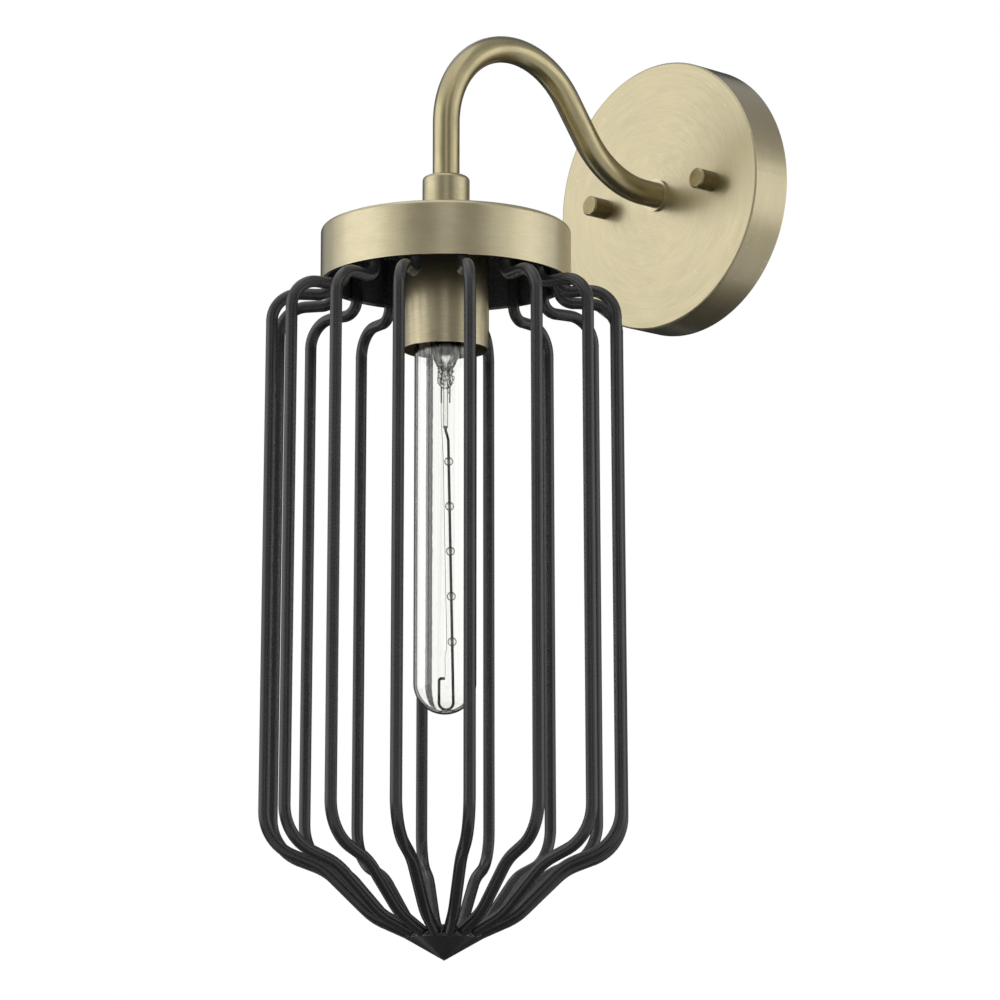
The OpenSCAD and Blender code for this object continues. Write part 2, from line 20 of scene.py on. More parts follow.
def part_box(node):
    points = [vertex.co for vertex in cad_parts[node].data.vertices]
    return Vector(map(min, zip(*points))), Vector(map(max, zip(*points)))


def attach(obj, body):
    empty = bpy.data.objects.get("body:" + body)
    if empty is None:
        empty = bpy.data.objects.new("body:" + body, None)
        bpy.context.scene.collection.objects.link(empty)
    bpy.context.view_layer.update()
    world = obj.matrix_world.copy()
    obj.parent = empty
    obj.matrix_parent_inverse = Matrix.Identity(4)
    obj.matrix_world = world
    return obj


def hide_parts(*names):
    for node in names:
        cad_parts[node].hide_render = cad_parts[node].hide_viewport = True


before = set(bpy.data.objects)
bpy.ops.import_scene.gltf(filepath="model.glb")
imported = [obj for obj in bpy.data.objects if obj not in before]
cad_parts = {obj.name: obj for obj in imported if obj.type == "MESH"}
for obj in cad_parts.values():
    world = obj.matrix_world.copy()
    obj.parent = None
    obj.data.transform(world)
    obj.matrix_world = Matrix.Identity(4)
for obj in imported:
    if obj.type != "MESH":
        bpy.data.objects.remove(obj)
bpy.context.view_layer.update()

log = logging.getLogger("cage_wall_light")

Point = tuple[float, float, float]
Colour = tuple[float, float, float]
Sockets = bpy.types.bpy_prop_collection
MM = 0.001

# Grains per metre in the shared effects.
WEAR_GRAIN = 900.0
DUST_GRAIN = 1400.0
# Two directions of scratches: each a turn in radians, and its fineness along X, Y and Z.
SCRATCH_WAYS = (((0.3, 0.9, 0.4), (3500.0, 160.0, 240.0)), ((1.1, -0.5, 0.8), (210.0, 3200.0, 300.0)))
# A wire's domed end. Its reach is a share of the wire's radius. Each ring: the share of the reach that it
# stays back, and its width as a share of the radius.
DOME_REACH = 0.8
DOME = ((0.45, 0.87), (0.15, 0.55))

DUST_COLOUR = (0.55, 0.53, 0.49)
DUST_ON_BLACK = (0.4, 0.39, 0.37)


def node_centre(name: str) -> Vector:
    """The middle of a CAD node's box."""
    low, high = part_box(name)
    return (low + high) / 2


CAGE_AXIS = node_centre("cap")
PLATE_AXIS = (0.0, -1.0, 0.0)
UP = (0.0, 0.0, 1.0)


class Body(str, Enum):
    """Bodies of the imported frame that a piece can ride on."""

    ROOT = "root"
    LAMP = "lamp"


class Slot(str, Enum):
    """Material slots of the record, listed here but given to no piece."""

    BRASS = "antique_brass"
    BLACK = "black_steel"
    NICKEL = "nickel"
    GLASS = "clear_glass"
    WIRE = "dark_wire"


class Grain(Enum):
    """How a metal piece was brushed."""

    TURNED = "rings round an axis"
    DRAWN = "streaks along the piece"


# ---- node trees ----


class Board:
    """Places and wires the nodes of one node tree."""

    def __init__(self, tree: NodeTree) -> None:
        """Takes the tree and empties it."""
        self.tree = tree
        tree.nodes.clear()

    def add(self, kind: str, **settings: object) -> Node:
        """Adds one node.

        Args:
            kind: Type name of the node, without its "ShaderNode" start where it has one.
            settings: Attributes of the node.

        Returns:
            The new node.
        """
        full = kind if kind.startswith("NodeGroup") else "ShaderNode" + kind
        node = self.tree.nodes.new(full)
        for name, value in settings.items():
            setattr(node, name, value)
        return node

    def put(self, node: Node, **inputs: object) -> Node:
        """Sets or links inputs of a node.

        Args:
            node: The node.
            inputs: Socket names, with "_" for a blank, or "i0", "i1" for a place in the list.
                A value that is a socket is linked, and any other is set.

        Returns:
            The same node.
        """
        for name, value in inputs.items():
            key = int(name[1:]) if name[0] == "i" and name[1:].isdigit() else name.replace("_", " ")
            socket = node.inputs[key]
            if isinstance(value, NodeSocket):
                self.tree.links.new(value, socket)
            else:
                socket.default_value = value
        return node

    def math(self, operation: str, a: object, b: object = 0.0, c: object = 0.0,
             clamp: bool = False) -> NodeSocket:
        """A Math node's result.

        Args:
            operation: Name of the operation.
            a: First value or socket.
            b: Second value or socket.
            c: Third value or socket, where the operation takes one.
            clamp: Whether the result is kept from 0 to 1.

        Returns:
            The output socket.
        """
        node = self.add("Math", operation=operation, use_clamp=clamp)
        return self.put(node, i0=a, i1=b, i2=c).outputs[0]

    def vector(self, operation: str, a: object, b: object = (0.0, 0.0, 0.0),
               out: int = 0) -> NodeSocket:
        """A Vector Math node's result.

        Args:
            operation: Name of the operation.
            a: First vector or socket.
            b: Second vector or socket.
            out: 0 for the vector, 1 for the value.

        Returns:
            The output socket.
        """
        node = self.add("VectorMath", operation=operation)
        return self.put(node, i0=a, i1=b).outputs[out]

    def plus(self, value: object, other: object, share: float) -> NodeSocket:
        """A value plus a share of another."""
        return self.math("ADD", value, self.math("MULTIPLY", other, share))

    def scaled(self, vector: object, factor: object) -> NodeSocket:
        """A vector times a number."""
        node = self.add("VectorMath", operation="SCALE")
        return self.put(node, i0=vector, Scale=factor).outputs[0]

    def remap(self, value: object, low: float, high: float, to_low: object = 0.0,
              to_high: object = 1.0) -> NodeSocket:
        """A value's range low to high, stretched to another range and kept in it.

        Args:
            value: The value's socket.
            low: Start of its range.
            high: End of its range.
            to_low: What low becomes.
            to_high: What high becomes.

        Returns:
            The output socket.
        """
        node = self.add("MapRange", clamp=True)
        self.put(node, Value=value, From_Min=low, From_Max=high)
        return self.put(node, To_Min=to_low, To_Max=to_high).outputs[0]

    def blend(self, factor: object, a: object, b: object, mode: str = "MIX") -> NodeSocket:
        """Two colours mixed.

        Args:
            factor: Share of the second colour.
            a: First colour or socket.
            b: Second colour or socket.
            mode: How they mix.

        Returns:
            The colour's socket.
        """
        node = self.add("Mix", data_type="RGBA", blend_type=mode)
        a, b = (x if isinstance(x, NodeSocket) else (*x, 1.0)[:4] for x in (a, b))
        return self.put(node, i0=factor, i6=a, i7=b).outputs[2]

    def noise(self, vector: object, scale: float = 1.0, detail: float = 2.0, rough: float = 0.5,
              w: object = None) -> NodeSocket:
        """A Noise Texture's value.

        Args:
            vector: Where it is read.
            scale: Its scale.
            detail: Its number of finer layers.
            rough: Strength of these.
            w: A fourth coordinate, or None.

        Returns:
            The value's socket.
        """
        node = self.add("TexNoise", noise_dimensions="3D" if w is None else "4D")
        self.put(node, Vector=vector, Scale=scale, Detail=detail, Roughness=rough)
        if w is not None:
            self.put(node, W=w)
        return node.outputs[0]

    def here(self) -> NodeSocket:
        """Where the shaded point lies on its piece, which moves with the piece."""
        return self.add("TexCoord").outputs["Object"]


def new_material(name: str) -> tuple[Material, Board]:
    """Makes a material with nodes.

    Args:
        name: Its name.

    Returns:
        The material and its empty board.
    """
    material = bpy.data.materials.new(name)
    material.use_nodes = True
    return material, Board(material.node_tree)


class Effects:
    """The effects that several finishes share, each one node group that is built once."""

    def __init__(self) -> None:
        """Builds every group."""
        self.turned = self._group("turned_brushing", self._turned,
                                  {"Point": "V", "Centre": "V", "Axis": "V", "Line": "F", "Arc": "F"},
                                  {"Shade": "F", "Height": "F"})
        self.drawn = self._group("drawn_brushing", self._drawn,
                                 {"Point": "V", "Cell": "V"}, {"Shade": "F", "Height": "F"})
        self.wear_and_highlight = self._group("edge_wear_and_highlight", self._wear_and_highlight,
                                {"Point": "V", "Width": "F", "Amount": "F"}, {"Mask": "F"})
        self.cloud = self._group("soft_tarnish", self._cloud,
                                 {"Point": "V", "Size": "F"}, {"Mask": "F"})
        self.dust = self._group("settled_dust", self._dust,
                                {"Point": "V", "Amount": "F"}, {"Mask": "F"})
        self.scratches = self._group("fine_scratches", self._scratches,
                                     {"Point": "V", "Amount": "F"}, {"Mask": "F"})
        self.pebble = self._group("powder_pebble", self._pebble,
                                  {"Point": "V", "Size": "F"}, {"Height": "F", "Speck": "F"})

    @staticmethod
    def _group(name: str, fill: Callable, inputs: dict[str, str],
               outputs: dict[str, str]) -> NodeTree:
        """Builds one node group.

        Args:
            name: Its name.
            fill: The function that places its nodes, called with a Board and the inputs, which
                returns the sockets of the outputs in order.
            inputs: Its inputs, each "V" for a vector or "F" for a number.
            outputs: Its outputs, in the same way.

        Returns:
            The node group.
        """
        tree = bpy.data.node_groups.new(name, "ShaderNodeTree")
        board = Board(tree)
        kinds = {"V": "NodeSocketVector", "F": "NodeSocketFloat"}
        for sockets, side in ((inputs, "INPUT"), (outputs, "OUTPUT")):
            for label, kind in sockets.items():
                tree.interface.new_socket(name=label, in_out=side, socket_type=kinds[kind])
        entry = board.add("NodeGroupInput")
        results = fill(board, entry.outputs)
        end = board.add("NodeGroupOutput")
        for place, socket in enumerate(results):
            tree.links.new(socket, end.inputs[place])
        return tree

    @staticmethod
    def _turned(board: Board, given: Sockets) -> list[NodeSocket]:
        """Fine rings round an axis, broken along their length.

        Args:
            board: Where the nodes go.
            given: The group's inputs.

        Returns:
            The shade and the height of the brushing.
        """
        arm = board.vector("SUBTRACT", given["Point"], given["Centre"])
        along = board.vector("DOT_PRODUCT", arm, given["Axis"], out=1)
        radial = board.vector("SUBTRACT", arm, board.scaled(given["Axis"], along))
        across = board.math("ADD", board.vector("LENGTH", radial, out=1), along)
        w = board.math("DIVIDE", across, given["Line"])
        around = board.scaled(board.vector("NORMALIZE", radial), given["Arc"])
        fine = board.noise(around, detail=1.0, w=w)
        broad = board.noise(around, scale=0.5, w=board.math("MULTIPLY", w, 0.12))
        shade = board.plus(board.math("MULTIPLY", fine, 0.7), broad, 0.3)
        return [board.remap(shade, 0.25, 0.75), fine]

    @staticmethod
    def _drawn(board: Board, given: Sockets) -> list[NodeSocket]:
        """Streaks along a piece.

        Args:
            board: Where the nodes go.
            given: The group's inputs.

        Returns:
            The shade and the height of the brushing.
        """
        place = board.vector("DIVIDE", given["Point"], given["Cell"])
        fine = board.noise(place, rough=0.6)
        broad = board.noise(board.vector("MULTIPLY", place, (0.22, 0.6, 0.6)))
        shade = board.plus(board.math("MULTIPLY", fine, 0.5), broad, 0.5)
        return [board.remap(shade, 0.3, 0.7), fine]

    @staticmethod
    def _wear_and_highlight(board: Board, given: Sockets) -> list[NodeSocket]:
        """Rubbed edges and painted edge highlights: where the surface turns within a width, broken up a
        little.

        Args:
            board: Where the nodes go.
            given: The group's inputs.

        Returns:
            The mask of the worn edges, which on brass also carries painted edge highlights.
        """
        bevel = board.add("Bevel", samples=4)
        board.put(bevel, Radius=given["Width"])
        normal = board.add("NewGeometry").outputs["Normal"]
        turn = board.math("SUBTRACT", 1.0, board.vector("DOT_PRODUCT", bevel.outputs[0], normal, out=1))
        edge = board.remap(turn, 0.01, 0.16)
        grains = board.noise(given["Point"], WEAR_GRAIN, detail=3.0, rough=0.6)
        ragged = board.remap(grains, 0.25, 0.6, to_low=0.45)
        return [board.math("MULTIPLY", board.math("MULTIPLY", edge, ragged), given["Amount"], clamp=True)]

    @staticmethod
    def _cloud(board: Board, given: Sockets) -> list[NodeSocket]:
        """Soft patches, as a hand and the air leave on lacquer.

        Args:
            board: Where the nodes go.
            given: The group's inputs.

        Returns:
            The mask of the patches.
        """
        place = board.scaled(given["Point"], board.math("DIVIDE", 1.0, given["Size"]))
        return [board.remap(board.noise(place, detail=4.0, rough=0.55), 0.32, 0.68)]

    @staticmethod
    def _dust(board: Board, given: Sockets) -> list[NodeSocket]:
        """A trace of dust on what faces up.

        Args:
            board: Where the nodes go.
            given: The group's inputs.

        Returns:
            The mask of the dust.
        """
        normal = board.add("NewGeometry").outputs["Normal"]
        upward = board.remap(board.vector("DOT_PRODUCT", normal, UP, out=1), 0.35, 1.0)
        grains = board.noise(given["Point"], DUST_GRAIN, detail=4.0, rough=0.7)
        grains = board.remap(grains, 0.45, 0.75, to_low=0.25)
        return [board.math("MULTIPLY", board.math("MULTIPLY", upward, grains), given["Amount"], clamp=True)]

    @staticmethod
    def _scratches(board: Board, given: Sockets) -> list[NodeSocket]:
        """A few short hair-thin scratches in two directions.

        Args:
            board: Where the nodes go.
            given: The group's inputs.

        Returns:
            The mask of the scratches.
        """
        marks = []
        for turn, cell in SCRATCH_WAYS:
            node = board.add("VectorRotate", rotation_type="EULER_XYZ")
            board.put(node, Vector=given["Point"], Rotation=turn)
            lines = board.noise(board.vector("MULTIPLY", node.outputs[0], cell), detail=0.0)
            marks.append(board.remap(lines, 0.80, 0.84))
        return [board.math("MULTIPLY", board.math("MAXIMUM", *marks), given["Amount"], clamp=True)]

    @staticmethod
    def _pebble(board: Board, given: Sockets) -> list[NodeSocket]:
        """The fine pebbling of a powder coat or a moulding.

        Args:
            board: Where the nodes go.
            given: The group's inputs.

        Returns:
            The height of the pebbles, and small specks.
        """
        place = board.scaled(given["Point"], board.math("DIVIDE", 1.0, given["Size"]))
        speck = board.noise(place, scale=0.35, detail=3.0, rough=0.6)
        return [board.noise(place), board.remap(speck, 0.4, 0.7)]


@dataclass
class Finish:
    """A material in the making: its board, its Principled shader and the shared effects."""

    name: str
    effects: Effects
    material: Material = field(init=False)
    board: Board = field(init=False)
    shader: Node = field(init=False)
    output: Node = field(init=False)
    point: NodeSocket = field(init=False)

    def __post_init__(self) -> None:
        """Makes the material with a Principled shader."""
        self.material, self.board = new_material(self.name)
        self.output = self.board.add("OutputMaterial")
        self.shader = self.board.add("BsdfPrincipled")
        self.board.put(self.output, i0=self.shader.outputs[0])
        self.point = self.board.here()

    def effect(self, tree: NodeTree, **inputs: object) -> Sockets:
        """Places a shared effect.

        Args:
            tree: The effect's node group.
            inputs: Its inputs, apart from the point.

        Returns:
            Its outputs.
        """
        node = self.board.add("Group", node_tree=tree)
        self.board.put(node, Point=self.point, **inputs)
        return node.outputs

    def bump(self, height: object, distance: float, strength: float = 1.0) -> None:
        """Raises the surface by a height.

        Args:
            height: The height's socket, from 0 to 1.
            distance: What 1 stands for, in metres.
            strength: Strength of the effect.
        """
        node = self.board.add("Bump")
        self.board.put(node, Height=height, Distance=distance, Strength=strength)
        self.board.put(self.shader, Normal=node.outputs[0])


# ---- finishes ----


@dataclass(frozen=True)
class BrassFinish:
    """Satin antique brass under clear lacquer, brushed on the lathe or along the piece, with painted shade
    along its silhouette.
    """

    name: str
    grain: Grain
    centre: Point = (0.0, 0.0, 0.0)
    axis: Point = UP
    line: float = 0.22 * MM
    arc: float = 6.0
    cell: Point = (0.5 * MM, 9 * MM, 9 * MM)
    light: Colour = (0.535, 0.475, 0.31)
    dark: Colour = (0.385, 0.337, 0.205)
    worn_and_highlight: Colour = (0.78, 0.70, 0.50)
    # Painted shade: the shadow colour is laid along the silhouette; its depth and the facing range where it
    # falls are set below.
    shadow: Colour = (0.05, 0.04, 0.022)
    rough: tuple[float, float] = (0.25, 0.36)
    anisotropy: float = 0.45
    lacquer: float = 0.6
    lacquer_rough: float = 0.18
    groove: float = 0.006 * MM
    edge: float = 0.8
    grain_share: float = 0.65
    patch_share: float = 0.35
    painted_edge_shade_depth: float = 0.95
    outline: tuple[float, float] = (0.72, 0.92)

    def make(self, effects: Effects) -> Material:
        """Builds the material.

        Args:
            effects: The shared effects.

        Returns:
            The material.
        """
        finish = Finish(self.name, effects)
        board = finish.board
        if self.grain is Grain.TURNED:
            brushed = finish.effect(effects.turned, Centre=self.centre, Axis=self.axis, Line=self.line,
                                    Arc=self.arc)
        else:
            brushed = finish.effect(effects.drawn, Cell=self.cell)
        cloud = finish.effect(effects.cloud, Size=22 * MM)["Mask"]
        wear_and_highlight = finish.effect(effects.wear_and_highlight, Width=0.5 * MM, Amount=self.edge)["Mask"]
        dust = finish.effect(effects.dust, Amount=0.10)["Mask"]
        scratch = finish.effect(effects.scratches, Amount=0.25)["Mask"]
        even_tone = 0.5 * (1.0 - self.grain_share - self.patch_share)
        tone = board.math("MULTIPLY_ADD", brushed["Shade"], self.grain_share, even_tone)
        tone = board.plus(tone, cloud, self.patch_share)
        colour = board.blend(tone, self.dark, self.light)
        # Painted highlight: on edges the pale worn colour stands partly for rubbed lacquer and partly for the
        # bright line that light draws along them.
        colour = board.blend(board.math("MAXIMUM", wear_and_highlight, scratch), colour, self.worn_and_highlight)
        colour = board.blend(dust, colour, DUST_COLOUR)
        # Painted shade: the colour darkens towards the shadow colour where the surface turns away from the
        # view.
        facing = board.add("LayerWeight")
        board.put(facing, Blend=0.5)
        painted_edge_shade = board.remap(facing.outputs["Facing"], *self.outline, 0.0, self.painted_edge_shade_depth)
        colour = board.blend(painted_edge_shade, colour, self.shadow)
        rough = board.remap(brushed["Shade"], 0.0, 1.0, self.rough[1], self.rough[0])
        rough = board.plus(board.plus(rough, cloud, 0.05), dust, 0.3)
        board.put(finish.shader, Base_Color=colour, Metallic=1.0, Roughness=rough)
        board.put(finish.shader, Anisotropic=self.anisotropy, Coat_Weight=self.lacquer)
        board.put(finish.shader, Coat_Roughness=self.lacquer_rough)
        if self.axis != UP or self.grain is Grain.DRAWN:
            way = "Y" if self.grain is Grain.TURNED else "X"
            tangent = board.add("Tangent", direction_type="RADIAL", axis=way)
            board.put(finish.shader, Tangent=tangent.outputs[0])
        finish.bump(brushed["Height"], self.groove, 0.7)
        return finish.material


@dataclass(frozen=True)
class CoatFinish:
    """Black powder coat, or a black moulding: fine pebbling, paler rubbed edges, a trace of dust."""

    name: str
    base: Colour = (0.012, 0.012, 0.0125)
    pale: Colour = (0.029, 0.029, 0.030)
    worn_and_highlight: Colour = (0.10, 0.10, 0.10)
    rough: tuple[float, float] = (0.18, 0.28)
    pebble: float = 0.45 * MM
    height: float = 0.010 * MM
    wear_and_highlight: float = 0.25
    shine: float = 0.5

    def make(self, effects: Effects) -> Material:
        """Builds the material.

        Args:
            effects: The shared effects.

        Returns:
            The material.
        """
        finish = Finish(self.name, effects)
        board = finish.board
        pebble = finish.effect(effects.pebble, Size=self.pebble)
        cloud = finish.effect(effects.cloud, Size=30 * MM)["Mask"]
        wear_and_highlight = finish.effect(effects.wear_and_highlight, Width=0.3 * MM, Amount=self.wear_and_highlight)["Mask"]
        dust = finish.effect(effects.dust, Amount=0.05)["Mask"]
        tone = board.plus(board.math("MULTIPLY", cloud, 0.5), pebble["Speck"], 0.4)
        colour = board.blend(tone, self.base, self.pale)
        colour = board.blend(wear_and_highlight, colour, self.worn_and_highlight)
        colour = board.blend(dust, colour, DUST_ON_BLACK)
        rough = board.remap(pebble["Height"], 0.3, 0.7, self.rough[0], self.rough[1])
        rough = board.plus(rough, cloud, 0.06)
        board.put(finish.shader, Base_Color=colour, Metallic=0.0, Roughness=rough)
        board.put(finish.shader, Specular_IOR_Level=self.shine)
        finish.bump(pebble["Height"], self.height, 0.6)
        return finish.material


@dataclass(frozen=True)
class PlateFinish:
    """Plated or bare sheet metal: zinc, green zinc, nickel or pressed brass."""

    name: str
    base: Colour
    dull: Colour
    worn_and_highlight: Colour
    rough: tuple[float, float] = (0.22, 0.42)
    size: float = 6 * MM

    def make(self, effects: Effects) -> Material:
        """Builds the material.

        Args:
            effects: The shared effects.

        Returns:
            The material.
        """
        finish = Finish(self.name, effects)
        board = finish.board
        cloud = finish.effect(effects.cloud, Size=self.size)["Mask"]
        pebble = finish.effect(effects.pebble, Size=0.8 * MM)
        wear_and_highlight = finish.effect(effects.wear_and_highlight, Width=0.25 * MM, Amount=0.6)["Mask"]
        scratch = finish.effect(effects.scratches, Amount=0.7)["Mask"]
        colour = board.blend(cloud, self.base, self.dull)
        colour = board.blend(board.math("MAXIMUM", wear_and_highlight, scratch), colour, self.worn_and_highlight)
        rough = board.remap(cloud, 0.0, 1.0, self.rough[0], self.rough[1])
        board.put(finish.shader, Base_Color=colour, Metallic=1.0, Roughness=rough)
        finish.bump(pebble["Height"], 0.012 * MM, 0.5)
        return finish.material


@dataclass(frozen=True)
class GlassFinish:
    """Clear blown glass with faint waves, and painted shade where the wall is seen edge on."""

    name: str
    clear: Colour = (0.995, 0.995, 0.975)
    edge: Colour = (0.001, 0.001, 0.001)
    painted_edge_range: tuple[float, float] = (0.60, 0.68)
    wave: float = 14 * MM
    depth: float = 0.03 * MM

    def make(self, effects: Effects) -> Material:
        """Builds the material.

        Args:
            effects: The shared effects.

        Returns:
            The material.
        """
        finish = Finish(self.name, effects)
        board = finish.board
        cloud = finish.effect(effects.cloud, Size=self.wave)["Mask"]
        # Painted shade: the colour goes near black where the wall is seen edge on, a dark outline in place of
        # the dark surroundings seen through the glass.
        facing = board.add("LayerWeight")
        board.put(facing, Blend=0.5)
        rim = board.remap(facing.outputs["Facing"], *self.painted_edge_range, 0.0, 1.0)
        colour = board.blend(rim, self.clear, self.edge)
        board.put(finish.shader, Base_Color=colour, Metallic=0.0, Roughness=0.0)
        board.put(finish.shader, Transmission_Weight=1.0, IOR=1.5)
        finish.bump(cloud, self.depth, 0.4)
        path = board.add("LightPath")
        through = board.add("BsdfTransparent")
        either = board.math("MAXIMUM", path.outputs["Is Shadow Ray"], path.outputs["Is Diffuse Ray"])
        mix = board.add("MixShader")
        board.put(mix, i0=either, i1=finish.shader.outputs[0], i2=through.outputs[0])
        board.put(finish.output, i0=mix.outputs[0])
        return finish.material


# ---- pieces ----


def dress(nodes: Sequence[str], material: Material) -> None:
    """Puts a material on CAD nodes.

    Args:
        nodes: Their names.
        material: The material.
    """
    for name in nodes:
        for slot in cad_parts[name].material_slots:
            slot.material = material


def place_mesh(name: str, mesh: BMesh, material: Material) -> Object:
    """Turns a mesh in the making into an object of the scene.

    Args:
        name: The object's name.
        mesh: Its mesh, which is freed.
        material: Its material.

    Returns:
        The object.
    """
    data = bpy.data.meshes.new(name)
    mesh.to_mesh(data)
    mesh.free()
    thing = bpy.data.objects.new(name, data)
    bpy.context.scene.collection.objects.link(thing)
    data.materials.append(material)
    return thing


def add_mesh(name: str, mesh: BMesh, material: Material, body: Body,
             smooth_angle: float) -> Object:
    """Turns a mesh in the making into a piece of the light.

    Args:
        name: The piece's name.
        mesh: Its mesh, which is freed.
        material: Its material.
        body: The body that it rides on.
        smooth_angle: Edges sharper than this, in degrees, stay sharp.

    Returns:
        The piece.
    """
    bmesh.ops.recalc_face_normals(mesh, faces=mesh.faces)
    piece = place_mesh(name, mesh, material)
    piece.data.shade_smooth()
    piece.data.set_sharp_from_angle(angle=math.radians(smooth_angle))
    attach(piece, body.value)
    return piece


def turns(steps: int) -> list[float]:
    """Even steps round a full turn, in radians."""
    return [2 * math.pi * step / steps for step in range(steps)]


def bridge(mesh: BMesh, first: Sequence[BMVert],
           second: Sequence[BMVert]) -> None:
    """Joins two rings of as many points with a band of faces.

    Args:
        mesh: The mesh that takes the faces.
        first: One ring.
        second: The other ring.
    """
    for step in range(len(first)):
        after = (step + 1) % len(first)
        mesh.faces.new((first[step], first[after], second[after], second[step]))


def revolve(profile: Sequence[tuple[float, float]], steps: int) -> BMesh:
    """Turns a closed half outline round the cage's axis.

    Args:
        profile: Radius and height of each point. A radius of 0 lies on the axis.
        steps: Number of steps round the axis.

    Returns:
        The mesh.
    """
    mesh = bmesh.new()
    rings = []
    for radius, height in profile:
        rings.append([mesh.verts.new((CAGE_AXIS.x + radius * math.cos(a), CAGE_AXIS.y + radius * math.sin(a),
                                      height)) for a in (turns(steps) if radius > 0.0 else [0.0])])
    for first, second in zip(rings, rings[1:] + rings[:1]):
        for step in range(steps):
            after = (step + 1) % steps
            corners = [first[step % len(first)], first[after % len(first)],
                       second[after % len(second)], second[step % len(second)]]
            corners = list(dict.fromkeys(corners))
            if len(corners) > 2:
                mesh.faces.new(corners)
    return mesh


def smooth_path(points: Sequence[Vector], parts: int) -> list[Vector]:
    """A smooth cubic curve through points.

    Args:
        points: The points.
        parts: Number of parts between two points.

    Returns:
        The points of the curve.
    """
    ends = [points[0] * 2 - points[1], *points, points[-1] * 2 - points[-2]]
    path = []
    for a, b, c, d in zip(ends, ends[1:], ends[2:], ends[3:]):
        for part in range(parts):
            t = part / parts
            path.append(0.5 * (2 * b + (c - a) * t + (2 * a - 5 * b + 4 * c - d) * t ** 2
                               + (3 * b - a - 3 * c + d) * t ** 3))
    return [*path, points[-1]]


def sweep(mesh: BMesh, path: Sequence[Vector], radius: float, sides: int = 12) -> None:
    """Adds a round wire with domed ends to a mesh.

    Args:
        mesh: The mesh.
        path: The points of its middle line.
        radius: Its radius.
        sides: Number of its sides.
    """
    ahead = (path[1] - path[0]).normalized()
    across = ahead.orthogonal().normalized()
    back = (path[-2] - path[-1]).normalized()
    stations = [(path[0] - ahead * radius * (1 - k) * DOME_REACH, radius * width)
                for k, width in reversed(DOME)]
    stations += [(point, radius) for point in path]
    stations += [(path[-1] - back * radius * (1 - k) * DOME_REACH, radius * width) for k, width in DOME]
    rings = []
    for place, (point, size) in enumerate(stations):
        before, after = stations[max(place - 1, 0)][0], stations[min(place + 1, len(stations) - 1)][0]
        along = (after - before).normalized()
        across = (across - along * across.dot(along)).normalized()
        side = along.cross(across)
        rings.append([mesh.verts.new(point + (across * math.cos(a) + side * math.sin(a)) * size)
                      for a in turns(sides)])
    for first, second in zip(rings, rings[1:]):
        bridge(mesh, first, second)
    mesh.faces.new(rings[0])
    mesh.faces.new(rings[-1])


def lumps(mesh: BMesh, centre: Vector, axes: tuple[Vector, Vector, Vector], rough: float,
          seed: float) -> None:
    """Adds one lump of weld metal to a mesh: a ball, stretched and made uneven.

    Args:
        mesh: The mesh.
        centre: Its middle.
        axes: Its three half axes.
        rough: How uneven it is.
        seed: Where its unevenness is read.
    """
    made = bmesh.ops.create_icosphere(mesh, subdivisions=3, radius=1.0)["verts"]
    for vertex in made:
        way = vertex.co.copy()
        size = 1.0 + rough * noise.noise(way * 1.3 + Vector((seed, seed * 0.37, -seed)))
        vertex.co = centre + (axes[0] * way.x + axes[1] * way.y + axes[2] * way.z) * size


def points_of(name: str, keep: Callable[[Vector], bool]) -> list[Vector]:
    """The points of a CAD node's mesh that pass a test."""
    return [v.co.copy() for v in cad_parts[name].data.vertices if keep(v.co)]


def middle(points: Sequence[Vector]) -> Vector:
    """The mean of points."""
    return sum(points, Vector()) / len(points)


@dataclass
class WallPlate:
    """The wall plate with its knobs and what holds it to the wiring box."""

    effects: Effects
    face: BrassFinish = BrassFinish("brass_wall_plate", Grain.TURNED, axis=PLATE_AXIS, line=0.4 * MM, arc=4.0,
                                    light=(0.47, 0.41, 0.255), dark=(0.335, 0.29, 0.177),
                                    groove=0.014 * MM, grain_share=0.5, patch_share=0.15)

    def build(self) -> list[str]:
        """Dresses the plate and its fixings.

        Returns:
            The names of the dressed nodes.
        """
        dress(["backplate"], self.face.make(self.effects))
        for name in ("knob_left", "knob_right"):
            centre = node_centre(name)
            finish = BrassFinish("brass_" + name, Grain.TURNED, centre=tuple(centre), axis=PLATE_AXIS,
                                 line=0.25 * MM, arc=2.0, light=(0.27, 0.22, 0.095), dark=(0.15, 0.12, 0.05),
                                 outline=(0.46, 0.68))
            dress([name], finish.make(self.effects))
        zinc = PlateFinish("zinc_fixings", (0.62, 0.63, 0.64), (0.45, 0.46, 0.48), (0.78, 0.79, 0.80))
        fixings = ["mounting_strap", "strap_studs", "stud_hex_nuts", "arm_nipple", "arm_lock_washer",
                   "arm_hex_nut", "socket_nipple", "socket_lock_washer", "socket_hex_nut"]
        dress(fixings, zinc.make(self.effects))
        green = PlateFinish("green_ground_screw", (0.05, 0.26, 0.09), (0.03, 0.17, 0.06), (0.5, 0.55, 0.5))
        dress(["ground_screw"], green.make(self.effects))
        return ["backplate", "knob_left", "knob_right", "ground_screw", *fixings]


